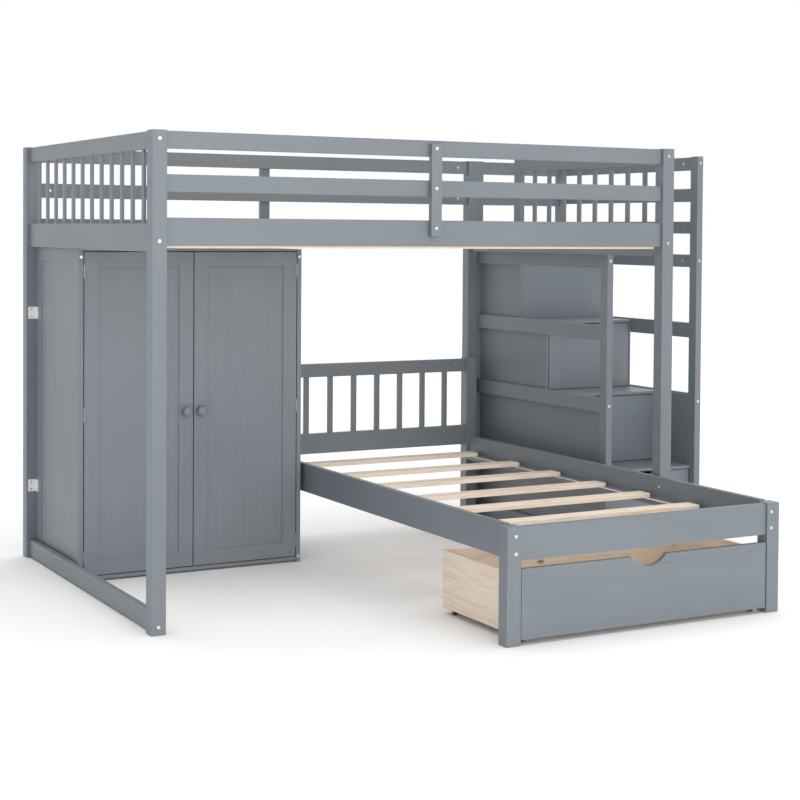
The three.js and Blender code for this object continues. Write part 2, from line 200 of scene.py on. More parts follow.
def makePaint(name, alongAxis, otherAxis=None, bands=()):
    material, tree, shader = newMaterial(name)
    ridges = grainNoise(tree, paintGrain["ridges"], alongAxis, otherAxis, bands)
    pores = grainNoise(tree, paintGrain["pores"], alongAxis, otherAxis, bands)
    cloud = grainNoise(tree, paintGrain["cloud"], alongAxis, otherAxis, bands)
    shares = paintGrain["toneShares"]
    tone = blendOf(tree, ridges, shares["ridges"], cloud, shares["cloud"])
    shadeStop, colourStop = paintGrain["toneStops"]
    colour = rampOf(tree, tone, [(shadeStop, paintLook["shade"]), (colourStop, paintLook["colour"])])
    tree.links.new(colour, shader.inputs["Base Color"])
    addRoughness(tree, shader, cloud, paintLook, paintGrain["wander"])
    shares = paintGrain["heightShares"]
    height = blendOf(tree, ridges, shares["ridges"], pores, shares["pores"])
    bumpOf(tree, shader, height, paintLook["grain"], paintGrain["depth"])
    return material


# Bare pine with growth-ring streaks and a few knots.
pineGrain = {
    "rings": {"across": 22, "along": 1.1, "detail": 4, "roughness": 0.5, "distortion": 0.9},
    "streaks": {"across": 190, "along": 4, "detail": 4, "roughness": 0.6, "distortion": 0.0},
    "ringCount": 46,
    "ringSwing": 0.24,
    "ringLevel": 0.54,
    "toneShares": {"growth": 0.6, "streaks": 0.4},
    "toneStops": (0.24, 0.50, 0.80),
    "knotCells": {"across": 9, "along": 4.2},
    "knotStops": (0.03, 0.09),
    "bump": 0.22,
    "depth": 0.0006,
    "wander": (0.08, 0.08),
}


def makePine(name, alongAxis):
    material, tree, shader = newMaterial(name)
    rings = grainNoise(tree, pineGrain["rings"], alongAxis)
    streaks = grainNoise(tree, pineGrain["streaks"], alongAxis)
    waves = mathOf(tree, "SINE", mathOf(tree, "MULTIPLY", rings, pineGrain["ringCount"]))
    swing = mathOf(tree, "MULTIPLY", waves, pineGrain["ringSwing"])
    growth = mathOf(tree, "ADD", swing, pineGrain["ringLevel"])
    shares = pineGrain["toneShares"]
    tone = blendOf(tree, growth, shares["growth"], streaks, shares["streaks"])
    tints = (pineLook["dark"], pineLook["pale"], pineLook["pale"])
    colour = rampOf(tree, tone, list(zip(pineGrain["toneStops"], tints)))
    cells = addNode(tree, "ShaderNodeTexVoronoi")
    cells.inputs["Scale"].default_value = 1.0
    spread = pineGrain["knotCells"]
    cellPlaces = grainCoordinates(tree, alongAxis, spread["across"], spread["along"])
    tree.links.new(cellPlaces, cells.inputs["Vector"])
    heart, rim = pineGrain["knotStops"]
    knots = greyRamp(tree, cells.outputs["Distance"], [(heart, 1), (rim, 0)])
    mix = addNode(tree, "ShaderNodeMix", data_type="RGBA")
    tree.links.new(knots, mix.inputs["Factor"])
    tree.links.new(colour, mix.inputs[colourMix["first"]])
    mix.inputs[colourMix["second"]].default_value = (*pineLook["knot"], 1)
    tree.links.new(mix.outputs[colourMix["result"]], shader.inputs["Base Color"])
    addRoughness(tree, shader, streaks, pineLook, pineGrain["wander"])
    bumpOf(tree, shader, streaks, pineGrain["bump"], pineGrain["depth"])
    return material


# Bolts, hinges and the hanging rail: a fine brushed grain, darker in its furrows.
metalGrain = {
    "stretch": 0.35,
    "detail": 3,
    "roughness": 0.6,
    "dull": 0.84,
    "bump": 0.08,
    "depth": 0.0002,
    "wander": (0.06, 0.1),
}


def makeMetal(name, look, scale):
    material, tree, shader = newMaterial(name)
    shader.inputs["Metallic"].default_value = 1.0
    furrows = grainCoordinates(tree, "z", scale, scale * metalGrain["stretch"])
    brushed = noiseOf(tree, furrows, metalGrain["detail"], metalGrain["roughness"])
    dull = tuple(level * metalGrain["dull"] for level in look["colour"])
    tree.links.new(rampOf(tree, brushed, [(0.3, dull), (0.7, look["colour"])]), shader.inputs["Base Color"])
    addRoughness(tree, shader, brushed, look, metalGrain["wander"])
    bumpOf(tree, shader, brushed, metalGrain["bump"], metalGrain["depth"])
    return material


# Pebbled plastic, and powder coat or webbing with the same fine speckle.
pebbleGrain = {"detail": 2, "roughness": 0.5, "bump": 0.12, "depth": 0.0002, "wander": (0.08, 0.08)}


def makePebbled(name, look, scale):
    material, tree, shader = newMaterial(name)
    speckle = grainCoordinates(tree, "z", scale, scale)
    pebble = noiseOf(tree, speckle, pebbleGrain["detail"], pebbleGrain["roughness"])
    colour = rampOf(tree, pebble, [(0.3, look["colour"]), (0.75, look["light"])])
    tree.links.new(colour, shader.inputs["Base Color"])
    addRoughness(tree, shader, pebble, look, pebbleGrain["wander"])
    bumpOf(tree, shader, pebble, pebbleGrain["bump"], pebbleGrain["depth"])
    return material


paint = {axis: makePaint("paintAlong" + axis.upper(), axis) for axis in "xyz"}
pine = {axis: makePine("pineAlong" + axis.upper(), axis) for axis in "xyz"}
boltSteel = makeMetal("boltSteel", steelLook, 1400)
hingeNickel = makeMetal("hingeNickel", nickelLook, 900)
railMetal = makeMetal("railMetal", railLook, 700)
whitePlate = makePebbled("whitePlate", whiteLook, 1100)
wheelPlastic = makePebbled("wheelPlastic", blackLook, 900)
webbing = makePebbled("webbing", webbingLook, 1500)
print("finishes made")


# Soft edges and a finish along each board.
edgeSoftening = {"width": 0.0016, "segments": 2, "angle": 35, "weld": 0.00002}
pineNodes = {"loft_slat_base", "bed_slat_base", "bed_drawer_bottom", "bed_drawer_back"}
pineNodes |= {"bed_drawer_side_left", "bed_drawer_side_right"}
pineNodes |= {"stair_drawer_" + step + "_box" for step in "123"}
grainOverride = {"loft_slat_base": "y", "stair_landing": "x", "stair_tread_1": "x", "stair_tread_2": "x"}
grainOverride |= {"stair_tread_3": "x", "stair_drawer_1_box": "y", "stair_drawer_2_box": "y"}
grainOverride |= {"stair_drawer_3_box": "y", "wardrobe_side_left": "z", "wardrobe_side_right": "z"}


def low(name, axis):
    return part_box(name)[0]["xyz".index(axis)]


def high(name, axis):
    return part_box(name)[1]["xyz".index(axis)]


def middle(name, axis):
    return (low(name, axis) + high(name, axis)) / 2


def partWay(name, axis, share):
    return low(name, axis) + share * (high(name, axis) - low(name, axis))


# Widths of the frames' own boards, which mark where the grain turns, and a reach past any board.
frameBoards = {
    "endRail": 0.089,
    "backStile": 0.046,
    "headboardLower": 0.419,
    "headboardTop": 0.059,
    "doorRail": 0.055,
    "beyond": 10.0,
}


# Frames whose boards run in two directions: the main one, the other, and where the other holds.
def makeFramePaints():
    beyond = frameBoards["beyond"]
    railTop = low("loft_left_guard", "z") + frameBoards["endRail"]
    guardBand = [("z", railTop, low("loft_front_guard_top", "z"))]
    stileBand = [("y", -beyond, low("stair_inner_frame", "y") + frameBoards["backStile"])]
    clearBand = [("x", high("stair_inner_frame", "x"), low("stair_outer_frame", "x"))]
    legs = [("x", -beyond, high("bed_foot_post_left", "x")), ("x", low("bed_foot_post_right", "x"), beyond)]
    spindleFoot = low("bed_headboard", "z") + frameBoards["headboardLower"]
    spindles = [("z", spindleFoot, high("bed_headboard", "z") - frameBoards["headboardTop"])]
    doorRails = {}
    for end in ("left", "right"):
        door = "wardrobe_door_" + end
        bottomRail = ("z", -beyond, low(door, "z") + frameBoards["doorRail"])
        topRail = ("z", high(door, "z") - frameBoards["doorRail"], beyond)
        doorRails[door] = [bottomRail, topRail]
    return {
        "loft_left_guard": makePaint("paintLeftGuard", "y", "z", guardBand),
        "loft_right_guard": makePaint("paintRightGuard", "y", "z", guardBand),
        "stair_inner_frame": makePaint("paintInnerFrame", "y", "z", stileBand),
        "stair_outer_frame": makePaint("paintOuterFrame", "y", "z", stileBand),
        "stair_back_frame": makePaint("paintBackFrame", "z", "x", clearBand),
        "bed_headboard": makePaint("paintHeadboard", "x", "z", legs + spindles),
        "wardrobe_door_left": makePaint("paintDoorLeft", "z", "x", doorRails["wardrobe_door_left"]),
        "wardrobe_door_right": makePaint("paintDoorRight", "z", "x", doorRails["wardrobe_door_right"]),
    }


def longestAxis(name):
    lowCorner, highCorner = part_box(name)
    size = highCorner - lowCorner
    return "xyz"[max(range(3), key=lambda axis: size[axis])]


def softenEdges(piece):
    weld = piece.modifiers.new("weld", "WELD")
    weld.merge_threshold = edgeSoftening["weld"]
    soft = piece.modifiers.new("softEdges", "BEVEL")
    soft.width = edgeSoftening["width"]
    soft.segments = edgeSoftening["segments"]
    soft.limit_method = "ANGLE"
    soft.angle_limit = math.radians(edgeSoftening["angle"])
    soft.profile = 0.5
    soft.harden_normals = False


def finishBoards():
    framePaints = makeFramePaints()
    for name, board in nodes.items():
        family = pine if name in pineNodes else paint
        finish = framePaints.get(name, family[grainOverride.get(name, longestAxis(name))])
        if "wheel" in name:
            finish = wheelPlastic
        if name == "wardrobe_hanging_rail":
            finish = railMetal
        board.data.materials.clear()
        board.data.materials.append(finish)
        if name != "wardrobe_hanging_rail":
            softenEdges(board)


finishBoards()
print("boards finished")


# Points closer than this are one point, and faces that meet at a sharper angle keep their crease.
weldGap = 0.00001
creaseAngle = 40
still = Matrix.Identity(4)


# One finished piece from a bmesh: its place is in its mesh, and it rides on a body.
def finishPiece(name, shape, material, body, smooth=True):
    mesh = bpy.data.meshes.new(name)
    shape.to_mesh(mesh)
    shape.free()
    for face in mesh.polygons:
        face.use_smooth = smooth
    if smooth:
        mesh.set_sharp_from_angle(angle=math.radians(creaseAngle))
    piece = bpy.data.objects.new(name, mesh)
    bpy.context.scene.collection.objects.link(piece)
    mesh.materials.append(material)
    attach(piece, body)
    return piece


def closeAndTurnOut(shape):
    bmesh.ops.remove_doubles(shape, verts=shape.verts, dist=weldGap)
    openEdges = [edge for edge in shape.edges if edge.is_boundary]
    if openEdges:
        bmesh.ops.holes_fill(shape, edges=openEdges)
    bmesh.ops.recalc_face_normals(shape, faces=shape.faces)


# Turn a line of (out, along) points round Z, closed at both ends by its own points on the axis.
def turned(points, steps=40):
    shape = bmesh.new()
    verts = [shape.verts.new((out, 0, along)) for out, along in points]
    edges = [shape.edges.new(pair) for pair in zip(verts, verts[1:])]
    bmesh.ops.spin(
        shape, geom=verts + edges, cent=(0, 0, 0), axis=(0, 0, 1), angle=math.tau, steps=steps, use_merge=True
    )
    closeAndTurnOut(shape)
    return shape


# A block between two corners with rounded edges.
def block(lowCorner, highCorner, soften=0.0):
    shape = bmesh.new()
    bmesh.ops.create_cube(shape, size=1)
    size = Vector(highCorner) - Vector(lowCorner)
    bmesh.ops.scale(shape, vec=size, verts=shape.verts)
    bmesh.ops.translate(shape, vec=(Vector(highCorner) + Vector(lowCorner)) / 2, verts=shape.verts)
    if soften:
        bmesh.ops.bevel(
            shape, geom=shape.edges[:], offset=soften, affect="EDGES", segments=2, profile=0.5, material=-1
        )
    return shape


# Add a copy of one shape to another, moved by a matrix.
def addCopy(target, source, matrix):
    mesh = bpy.data.meshes.new("copy")
    source.to_mesh(mesh)
    known = len(target.verts)
    target.from_mesh(mesh)
    target.verts.ensure_lookup_table()
    bmesh.ops.transform(target, matrix=matrix, verts=target.verts[known:])
    bpy.data.meshes.remove(mesh)


# Matrix that points a fitting's own +Z out of the wood at a place.
def facing(place, outward):
    turn = Vector(outward).to_track_quat("Z", "Y").to_matrix().to_4x4()
    return Matrix.Translation(place) @ turn


def scatter(name, prototype, spots, material, body, slotName="hanging_rail"):
    shape = bmesh.new()
    for place, outward in spots:
        addCopy(shape, prototype, facing(place, outward))
    prototype.free()
    return finishPiece(name, shape, material, body)


# How a cross or slot is cut: its waist as a share of its reach, and how sharply the lobes narrow.
socketCut = {"waist": 0.34, "sharpness": 6, "taper": 0.03}
hexSides = 6


# Round head with a socket: 6 corners make a hex socket, 4 lobes a cross, 2 a slot.
def makeHead(radius, height, rim, socket, depth, lobes, segments=24):
    shape = bmesh.new()
    bmesh.ops.create_cone(
        shape, cap_ends=True, cap_tris=False, segments=segments, radius1=radius, radius2=radius, depth=height
    )
    bmesh.ops.translate(shape, vec=(0, 0, height / 2), verts=shape.verts)
    rimEdges = [edge for edge in shape.edges if all(vert.co.z > height * 0.9 for vert in edge.verts)]
    bmesh.ops.bevel(
        shape, geom=rimEdges, offset=rim, affect="EDGES", segments=3, profile=0.5, material=-1
    )
    cap = max(shape.faces, key=lambda face: (face.calc_center_median().z, face.calc_area()))
    border = radius - rim - socket
    bmesh.ops.inset_individual(shape, faces=[cap], thickness=border, depth=0, use_even_offset=True)
    for vert in cap.verts:
        angle = math.atan2(vert.co.y, vert.co.x)
        if lobes == hexSides:
            halfSide = math.pi / hexSides
            sector = (angle + math.tau) % (2 * halfSide) - halfSide
            reach = socket * math.cos(halfSide) / math.cos(sector)
        else:
            lobe = abs(math.cos(angle * lobes / 2)) ** socketCut["sharpness"]
            reach = socket * (socketCut["waist"] + (1 - socketCut["waist"]) * lobe)
        vert.co.x, vert.co.y = reach * math.cos(angle), reach * math.sin(angle)
    taper = socket * socketCut["taper"]
    bmesh.ops.inset_individual(shape, faces=[cap], thickness=taper, depth=-depth)
    bmesh.ops.recalc_face_normals(shape, faces=shape.faces)
    return shape


# Bolts with hex sockets in the posts, their barrel nuts in the rails, and screws.
boltHead = {"radius": 0.0060, "height": 0.0020, "rim": 0.0009, "socket": 0.0030, "depth": 0.0016}
pinHead = {"radius": 0.0044, "height": 0.0010, "rim": 0.0004, "socket": 0.0026, "depth": 0.0009}
nutFace = {"radius": 0.0052, "height": 0.0010, "rim": 0.0004, "socket": 0.0030, "depth": 0.0008}
screwHead = {"radius": 0.0040, "height": 0.0012, "rim": 0.0005, "socket": 0.0022, "depth": 0.0009}
jointPlan = {
    "endRailUp": 0.034,
    "floorRailUp": 0.020,
    "loftTopUp": 0.002,
    "stairTopUp": 0.003,
    "landingDown": 0.020,
    "treadDown": 0.018,
    "railBoltShare": 0.69,
    "endBoltShares": (0.22, 0.67),
    "footBoltShares": (0.22, 0.74),
    "footBoltLeft": 0.005,
    "footBoltRight": -0.008,
    "wardrobeBoltShare": 0.976,
    "wardrobeLowBolt": 0.022,
}
nutPlan = {
    "fromPost": 0.046,
    "stairBoard": 0.019,
    "stairFromFront": 0.104,
    "stairTopUp": 0.002,
    "landingDown": 0.022,
    "headboardIn": 0.011,
    "headboardLowUp": 0.377,
    "headboardTopDown": 0.031,
    "sideRailThick": 0.020,
    "sideRailAlong": 0.29,
    "sideRailUp": 0.67,
}


def loftBoltSpots():
    spots = []
    endRail = low("loft_left_guard", "z") + jointPlan["endRailUp"]
    topRail = middle("loft_front_guard_top", "z") + jointPlan["loftTopUp"]
    for row, outward in (("front", -1), ("back", 1)):
        for end in ("left", "right"):
            post = "loft_post_" + row + "_" + end
            face = low(post, "y") if row == "front" else high(post, "y")
            heights = [topRail, endRail]
            if end == "left":
                heights.append(low("loft_floor_rail", "z") + jointPlan["floorRailUp"])
            if end == "right" and row == "back":
                heights.remove(topRail)
            for z in heights:
                spots.append(((middle(post, "x"), face, z), (0, outward, 0)))
        batten = "loft_" + row + "_batten"
        face = low(batten, "y") if row == "front" else high(batten, "y")
        for rail in ("rail", "guard_middle", "guard_top"):
            board = "loft_" + row + "_" + rail
            share = jointPlan["railBoltShare"] if rail == "rail" else 0.5
            spots.append(((middle(batten, "x"), face, partWay(board, "z", share)), (0, outward, 0)))
    return spots


# Painted bolt ends on the outer sides of the posts, in line with the long rails and the foot rail.
def boltEndSpots():
    spots = []
    for row in ("front", "back"):
        rails = "loft_" + row + "_"
        heights = [middle(rails + "guard_top", "z"), middle(rails + "guard_middle", "z")]
        heights += [partWay(rails + "rail", "z", share) for share in jointPlan["endBoltShares"]]
        post = "loft_post_" + row + "_left"
        spots += [((low(post, "x"), middle(post, "y"), z), (-1, 0, 0)) for z in heights]
    foot = middle("bed_foot_rail", "z")
    spots.append(((low("bed_foot_post_left", "x"), middle("bed_foot_post_left", "y"), foot), (-1, 0, 0)))
    spots.append(((high("bed_foot_post_right", "x"), middle("bed_foot_post_right", "y"), foot), (1, 0, 0)))
    return spots


def stairBoltSpots():
    landing = middle("stair_landing", "z") - jointPlan["landingDown"]
    tread = middle("stair_tread_2", "z") - jointPlan["treadDown"]
    top = middle("loft_front_guard_top", "z") + jointPlan["stairTopUp"]
    heights = {"stair_inner_frame": [landing, tread], "stair_outer_frame": [top, landing, tread]}
    spots = []
    for name, levels in heights.items():
        for z in levels:
            spots.append(((middle(name, "x"), low(name, "y"), z), (0, -1, 0)))
    return spots


def footAndWardrobeBoltSpots():
    spots = []
    forward = (0, -1, 0)
    for end, shift in (("left", jointPlan["footBoltLeft"]), ("right", jointPlan["footBoltRight"])):
        post = "bed_foot_post_" + end
        for share in jointPlan["footBoltShares"]:
            z = partWay("bed_foot_rail", "z", share)
            spots.append(((middle(post, "x") + shift, low(post, "y"), z), forward))
    for end in ("left", "right"):
        board = "wardrobe_side_" + end
        z = partWay(board, "z", jointPlan["wardrobeBoltShare"])
        spots.append(((middle(board, "x"), low(board, "y"), z), forward))
    board = "wardrobe_side_right"
    spots.append(((middle(board, "x"), low(board, "y"), jointPlan["wardrobeLowBolt"]), forward))
    return spots


def nutSpots():
    spots = []
    fromPost = nutPlan["fromPost"]
    postInner = {"left": high("loft_post_back_left", "x"), "right": low("loft_post_back_right", "x")}
    for row, inward in (("front", 1), ("back", -1)):
        for rail in ("rail", "guard_middle", "guard_top"):
            board = "loft_" + row + "_" + rail
            face = high(board, "y") if row == "front" else low(board, "y")
            for x in (postInner["left"] + fromPost, postInner["right"] - fromPost):
                spots.append(((x, face, middle(board, "z")), (0, inward, 0)))
    outer = "stair_outer_frame"
    face = high(outer, "x") - nutPlan["stairBoard"]
    top = middle("loft_front_guard_top", "z") + nutPlan["stairTopUp"]
    for z in (top, middle("stair_landing", "z") - nutPlan["landingDown"]):
        spots.append(((face, low(outer, "y") + nutPlan["stairFromFront"], z), (-1, 0, 0)))
    headFace = middle("bed_headboard", "y") - nutPlan["headboardIn"]
    lowNut = low("bed_headboard", "z") + nutPlan["headboardLowUp"]
    for z in (lowNut, high("bed_headboard", "z") - nutPlan["headboardTopDown"]):
        for x in (high("bed_foot_post_left", "x") + fromPost, low("bed_foot_post_right", "x") - fromPost):
            spots.append(((x, headFace, z), (0, -1, 0)))
    sideFaces = {
        "left": (low("bed_side_rail_left", "x") + nutPlan["sideRailThick"], 1),
        "right": (high("bed_side_rail_right", "x") - nutPlan["sideRailThick"], -1),
    }
    for end, (inside, outward) in sideFaces.items():
        rail = "bed_side_rail_" + end
        y = partWay(rail, "y", nutPlan["sideRailAlong"])
        spots.append(((inside, y, partWay(rail, "z", nutPlan["sideRailUp"])), (outward, 0, 0)))
    return spots


def addFasteners():
    steel = {"material": boltSteel, "body": "bed_frame"}
    boltSpots = loftBoltSpots() + stairBoltSpots() + footAndWardrobeBoltSpots()
    bolt = makeHead(lobes=hexSides, **boltHead)
    boltEnd = makeHead(lobes=hexSides, **pinHead)
    scatter("frame_bolts", bolt, boltSpots, **steel)
    scatter("frame_bolt_ends", boltEnd, boltEndSpots(), paint["z"], "bed_frame", "painted_wood")
    scatter("frame_barrel_nuts", makeHead(lobes=2, **nutFace), nutSpots(), **steel)


addFasteners()
print("bolts and nuts added")


# Hinges: five knuckles round a pin, with a leaf on the wardrobe's side and one on the door.
hinge = {
    "radius": 0.0034,
    "knuckle": 0.0092,
    "count": 5,
    "gap": 0.0002,
    "leaf": 0.0010,
    "leafInset": 0.0010,
    "leafSoften": 0.0002,
    "sideOffset": 0.0030,
    "pin": 0.0015,
    "pinPast": 0.003,
    "cap": 0.0018,
    "capShare": 0.9,
    "heights": (0.054, 0.498, 0.940),
}


def knuckle(x, y, z, length, radius):
    rim = min(0.0004, radius * 0.2)
    half = length / 2
    points = [(0, -half), (radius - rim, -half), (radius, -half + rim)]
    points += [(radius, half - rim), (radius - rim, half), (0, half)]
    shape = turned(points, 24)
    bmesh.ops.translate(shape, vec=(x, y, z), verts=shape.verts)
    return shape


def addHinges():
    for end in ("left", "right"):
        door = "wardrobe_door_" + end
        pivotX = low(door, "x") if end == "left" else high(door, "x")
        towardSide = -1 if end == "left" else 1
        pivotY = low(door, "y")
        frameShape, doorShape, pinShape = bmesh.new(), bmesh.new(), bmesh.new()
        for share in hinge["heights"]:
            centre = partWay(door, "z", share)
            pitch = hinge["knuckle"] + hinge["gap"]
            for index in range(hinge["count"]):
                z = centre + (index - hinge["count"] // 2) * pitch
                target = doorShape if index % 2 else frameShape
                addCopy(target, knuckle(pivotX, pivotY, z, hinge["knuckle"], hinge["radius"]), still)
            half = pitch * hinge["count"] / 2
            tall = pitch * hinge["count"] + hinge["pinPast"]
            addCopy(pinShape, knuckle(pivotX, pivotY, centre, tall, hinge["pin"]), still)
            for side in (-1, 1):
                place = (pivotX, pivotY, centre + side * (half + hinge["cap"] / 2))
                addCopy(pinShape, knuckle(*place, hinge["cap"], hinge["radius"] * hinge["capShare"]), still)
            thick = hinge["leaf"] * towardSide
            sideEdge = pivotX + towardSide * hinge["sideOffset"]
            sideX = sorted((sideEdge, sideEdge - thick))
            doorX = sorted((pivotX + thick, pivotX))
            leafY = (pivotY + hinge["leafInset"], high(door, "y") - hinge["leafInset"])
            for target, xs in ((frameShape, sideX), (doorShape, doorX)):
                lowCorner = (xs[0], leafY[0], centre - half)
                highCorner = (xs[1], leafY[1], centre + half)
                addCopy(target, block(lowCorner, highCorner, hinge["leafSoften"]), still)
        finishPiece(door + "_hinge_side", frameShape, hingeNickel, "bed_frame")
        finishPiece(door + "_hinge_door", doorShape, hingeNickel, end + "_door")
        finishPiece(door + "_hinge_pins", pinShape, hingeNickel, "bed_frame")


addHinges()
print("hinges hung")


# Turned knobs with a foot, a waist and a round nose, and the collar they stand on.
knobShape = {"foot": 0.0105, "waist": 0.0078, "nose": 0.0190, "length": 0.0300, "steps": 56}


def addKnobs():
    foot, waist, nose, length = (knobShape[key] for key in ("foot", "waist", "nose", "length"))
    stem = [(0, 0), (foot, 0), (foot + 0.0004, 0.0010), (foot, 0.0024), (waist + 0.0008, 0.0044)]
    stem += [(waist, 0.0075), (waist + 0.0006, 0.0105), (waist + 0.0034, 0.0132), (nose * 0.80, 0.0152)]
    ball = []
    for step in range(0, 13):
        angle = math.radians(-38 + step * 128 / 12)
        ball.append((nose * math.cos(angle), 0.0200 + (length - 0.0200) * max(math.sin(angle), -0.55)))
    ball[-1] = (0, length)
    for end in ("left", "right"):
        node = "wardrobe_knob_" + end
        shape = turned(stem + ball, knobShape["steps"])
        place = Vector((middle(node, "x"), high(node, "y"), middle(node, "z")))
        bmesh.ops.transform(shape, matrix=facing(place, (0, -1, 0)), verts=shape.verts)
        piece = finishPiece(node + "_turned", shape, paint["z"], end + "_door")
        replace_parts(piece, node)


addKnobs()
print("knobs turned")


# Brackets that tie the wardrobe's back corner to the loft's back post.
bracket = {
    "tall": 0.046,
    "leg": 0.031,
    "thick": 0.0016,
    "soften": 0.0006,
    "heights": (0.943, 0.279),
    "screwUp": 0.013,
    "screwOut": 0.58,
}


def addBrackets():
    shape = bmesh.new()
    cornerX = low("wardrobe_side_left", "x")
    cornerY = low("loft_post_back_left", "y")
    screws = []
    for z in bracket["heights"]:
        bottom, top = z - bracket["tall"] / 2, z + bracket["tall"] / 2
        postLeg = ((cornerX - bracket["leg"], cornerY - bracket["thick"], bottom), (cornerX, cornerY, top))
        sideLeg = ((cornerX - bracket["thick"], cornerY - bracket["leg"], bottom), (cornerX, cornerY, top))
        for lowCorner, highCorner in (postLeg, sideLeg):
            addCopy(shape, block(lowCorner, highCorner, bracket["soften"]), still)
        for turn in (-1, 1):
            level = z + turn * bracket["screwUp"]
            out = bracket["leg"] * bracket["screwOut"]
            screws.append(((cornerX - out, cornerY - bracket["thick"], level), (0, -1, 0)))
            screws.append(((cornerX - bracket["thick"], cornerY - out, level), (-1, 0, 0)))
    finishPiece("wardrobe_brackets", shape, whitePlate, "bed_frame", smooth=False)
    scatter("wardrobe_bracket_screws", makeHead(lobes=4, **screwHead), screws, boltSteel, "bed_frame")


addBrackets()
print("brackets fixed")


# Cups that hold the hanging rail's two ends.
cup = {
    "outer": 0.0205,
    "inner": 0.0126,
    "wall": 0.0022,
    "flange": 0.0030,
    "flangeRim": 0.0008,
    "deep": 0.0120,
    "mouthRim": 0.0006,
    "screwUp": 0.0176,
    "screwSink": 0.0004,
}
cupScrew = dict(screwHead, radius=0.0024, socket=0.0014)


def addRailCups():
    rail = "wardrobe_hanging_rail"
    y, z = middle(rail, "y"), middle(rail, "z")
    outer, inner, flange, deep = (cup[key] for key in ("outer", "inner", "flange", "deep"))
    rim, mouth = cup["flangeRim"], cup["mouthRim"]
    wall = inner + cup["wall"]
    ring = [(inner, 0.0), (outer - rim, 0.0), (outer, rim), (outer, flange - rim), (outer - rim, flange)]
    ring += [(wall, flange), (wall, deep - mouth), (wall - mouth, deep), (inner, deep), (inner, 0.0)]
    shape = bmesh.new()
    screws = []
    for x, inward in ((low(rail, "x"), 1), (high(rail, "x"), -1)):
        addCopy(shape, turned(ring), facing((x, y, z), (inward, 0, 0)))
        for side in (-1, 1):
            spot = (x + inward * (flange - cup["screwSink"]), y, z + side * cup["screwUp"])
            screws.append((spot, (inward, 0, 0)))
    finishPiece("wardrobe_rail_cups", shape, railMetal, "bed_frame")
    scatter("wardrobe_rail_cup_screws", makeHead(lobes=4, **cupScrew), screws, boltSteel, "bed_frame")


addRailCups()
print("rail cups fixed")


# Casters under the drawer: a pressed fork, an axle pin and a grooved wheel.
caster = {
    "plate": 0.0015,
    "long": 0.030,
    "legThick": 0.0014,
    "legGap": 0.0010,
    "legWide": 0.014,
    "legDrop": 0.0055,
    "legTuck": 0.0005,
    "soften": 0.0004,
    "axle": 0.0024,
    "axlePast": 0.0020,
}
wheelShape = {"bore": 0.0026, "hub": 0.0052, "hubRim": 0.0058, "web": 0.0060, "steps": 48}


# Half the wheel's outline from bore to rim is mirrored to make the other half.
def makeWheel(radius, width):
    half = width / 2
    bore = (wheelShape["bore"], -half + 0.0020)
    tyre = [bore, (wheelShape["hub"], -half + 0.0020), (wheelShape["hubRim"], -half)]
    tyre += [(wheelShape["web"], -half + 0.0030), (radius - 0.0034, -half + 0.0030)]
    tyre += [(radius - 0.0026, -half + 0.0004), (radius - 0.0012, -half), (radius - 0.0003, -half + 0.0012)]
    tyre += [(radius, -half + 0.0030), (radius, -0.0012), (radius - 0.0006, 0)]
    other = [(out, -along) for out, along in reversed(tyre[:-1])]
    return turned(tyre + other + [bore], wheelShape["steps"])


def addFork(forks, place, width):
    x, y, z = place
    plateTop = low("bed_drawer_bottom", "z")
    reach = width / 2 + caster["legGap"]
    outerX = reach + caster["legThick"]
    halfLong = caster["long"] / 2
    plateLow = (x - outerX, y - halfLong, plateTop - caster["plate"])
    addCopy(forks, block(plateLow, (x + outerX, y + halfLong, plateTop), caster["soften"]), still)
    for side in (-1, 1):
        xs = sorted((x + side * reach, x + side * outerX))
        legLow = (xs[0], y - caster["legWide"] / 2, z - caster["legDrop"])
        legHigh = (xs[1], y + caster["legWide"] / 2, plateTop - caster["legTuck"])
        addCopy(forks, block(legLow, legHigh, caster["soften"]), still)
    return 2 * outerX + caster["axlePast"]


def addCasters():
    forks, axles = bmesh.new(), bmesh.new()
    for row in ("front", "back"):
        for end in ("left", "right"):
            node = "bed_drawer_wheel_" + row + "_" + end
            place = tuple(middle(node, axis) for axis in "xyz")
            sideways = facing(place, (1, 0, 0))
            radius = (high(node, "z") - low(node, "z")) / 2
            width = high(node, "x") - low(node, "x")
            shape = makeWheel(radius, width)
            bmesh.ops.transform(shape, matrix=sideways, verts=shape.verts)
            body = node.replace("bed_", "", 1)
            wheel = finishPiece(node + "_turned", shape, wheelPlastic, body)
            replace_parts(wheel, node)
            axleLong = addFork(forks, place, width)
            addCopy(axles, knuckle(0, 0, 0, axleLong, caster["axle"]), sideways)
    finishPiece("bed_drawer_forks", forks, hingeNickel, "bed_drawer", smooth=False)
    finishPiece("bed_drawer_axles", axles, boltSteel, "bed_drawer")


addCasters()
print("casters fitted")


# Slats of the lower bed, one planed board each, and the webbing under their ends.
bedSlats = {
    "soften": 0.0020,
    "thick": 0.016,
    "webbing": 0.014,
    "webThick": 0.0016,
    "webSoften": 0.0003,
    "webTuck": 0.033,
    "fromEnd": 0.012,
    "topBand": 0.0005,
}


